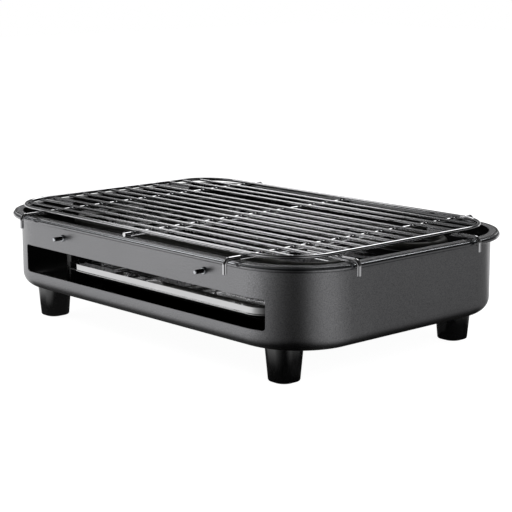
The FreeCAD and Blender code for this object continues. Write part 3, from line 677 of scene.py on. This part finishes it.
def staged_mesh(name, corners, faces, material):
    mesh = bpy.data.meshes.new(name)
    mesh.from_pydata(corners, [], faces)
    mesh.materials.append(material)
    thing = bpy.data.objects.new(name, mesh)
    bpy.context.scene.collection.objects.link(thing)
    return thing


def soft_box(name, azimuth, distance, height, size, watts, aim=(0, 0, 0.06)):
    lamp = bpy.data.lights.new(name, "AREA")
    lamp.shape = "RECTANGLE"
    lamp.size, lamp.size_y = size
    lamp.energy = watts * bpy.context.scene.roaster_stage.lamp_level
    thing = bpy.data.objects.new(name, lamp)
    bpy.context.scene.collection.objects.link(thing)
    thing.location = round_the_part(azimuth, distance, height)
    thing.rotation_euler = (Vector(aim) - thing.location).to_track_quat("-Z", "Y").to_euler()
    thing.visible_glossy = False
    return thing


class ROASTER_OT_stage(bpy.types.Operator):
    """Sets up the floor, the lamps, the world and the camera"""
    bl_idname = "roaster.stage"
    bl_label = "Stage"

    def execute(self, context):
        scene = context.scene
        corners = [(x * FLOOR_HALF, y * FLOOR_HALF, FLOOR_HEIGHT)
                   for x, y in ((-1, -1), (1, -1), (1, 1), (-1, 1))]
        staged_mesh("floor", corners, [(0, 1, 2, 3)], studio_paper())
        self.tent()
        world = bpy.data.worlds.new("studio_world")
        scene.world = world
        world.use_nodes = True
        tree = world.node_tree
        tree.nodes.clear()
        strength = maths(tree, "MULTIPLY_ADD", seen_directly(tree), 1 - WORLD_LIGHT, WORLD_LIGHT)
        back = node(tree, "ShaderNodeBackground", {"Color": (1, 1, 1, 1), "Strength": strength})
        node(tree, "ShaderNodeOutputWorld", {"Surface": back.outputs[0]})
        soft_box("key_softbox", -60, 1.6, 1.3, (1.2, 1.0), 18)
        soft_box("side_softbox", 95, 1.6, 0.9, (0.8, 0.8), 8)
        soft_box("top_softbox", 150, 0.5, 1.8, (1.4, 1.0), 16)
        self.camera(scene)
        return {"FINISHED"}

    def tent(self):
        """A round tent with its own floor, that only reflections see."""
        corners = []
        faces = []
        for distance, height in TENT_ROWS:
            for k in range(TENT_STEPS):
                turn = 360 * k / TENT_STEPS
                corners.append(tuple(round_the_part(turn, distance, height + TENT_LIFT)))
        last = (len(TENT_ROWS) - 1) * TENT_STEPS
        for start in range(0, last, TENT_STEPS):
            for k in range(TENT_STEPS):
                a = start + k
                b = start + (k + 1) % TENT_STEPS
                faces.append((a, b, b + TENT_STEPS, a + TENT_STEPS))
        faces.append([last + k for k in range(TENT_STEPS)])
        tent = staged_mesh("tent", corners, faces, tent_cloth())
        tent.visible_camera = False
        tent.visible_diffuse = False
        tent.visible_shadow = False

    def camera(self, scene):
        data = bpy.data.cameras.new("camera")
        data.sensor_width = 36
        data.lens = scene.roaster_stage.camera_lens
        data.shift_x, data.shift_y = CAMERA_SHIFT
        camera = bpy.data.objects.new("camera", data)
        scene.collection.objects.link(camera)
        place = Vector(CAMERA_PLACE)
        ahead = (Vector(CAMERA_AIM) - place).normalized()
        level = ahead.cross(Vector((0, 0, 1))).normalized()
        above = level.cross(ahead)
        roll = math.radians(CAMERA_ROLL)
        right = level * math.cos(roll) + above * math.sin(roll)
        up = right.cross(ahead)
        turn = Matrix((right, up, -ahead)).transposed().to_4x4()
        camera.matrix_world = Matrix.Translation(place) @ turn
        scene.camera = camera
        scene.view_settings.view_transform = "Standard"


class ROASTER_PT_panel(bpy.types.Panel):
    """Lists the roaster's pieces, finishes and sizes"""
    bl_idname = "ROASTER_PT_panel"
    bl_label = "Fish roaster"
    bl_space_type = "VIEW_3D"
    bl_region_type = "UI"
    bl_category = "Roaster"

    def draw(self, context):
        for operator in operators:
            self.layout.operator(operator.bl_idname)
        for group_name in groups:
            group = getattr(context.scene, group_name)
            box = self.layout.box()
            for name in group.bl_rna.properties.keys():
                if name not in ("rna_type", "name"):
                    box.prop(group, name)


operators = [ROASTER_OT_tub, ROASTER_OT_feet, ROASTER_OT_fasteners, ROASTER_OT_element,
             ROASTER_OT_tray, ROASTER_OT_inlet, ROASTER_OT_net, ROASTER_OT_stage]
groups = {"roaster_finishes": RoasterFinishes, "roaster_sizes": RoasterSizes,
          "roaster_stage": RoasterStage}


def register():
    for kind in list(groups.values()) + operators + [ROASTER_PT_panel]:
        bpy.utils.register_class(kind)
    for name, group in groups.items():
        setattr(bpy.types.Scene, name, bpy.props.PointerProperty(type=group))


def unregister():
    for name in groups:
        delattr(bpy.types.Scene, name)
    for kind in [ROASTER_PT_panel] + operators[::-1] + list(groups.values()):
        bpy.utils.unregister_class(kind)


def main():
    register()
    for operator in operators:
        group, name = operator.bl_idname.split(".")
        getattr(getattr(bpy.ops, group), name)()


if __name__ == "__main__":
    main()
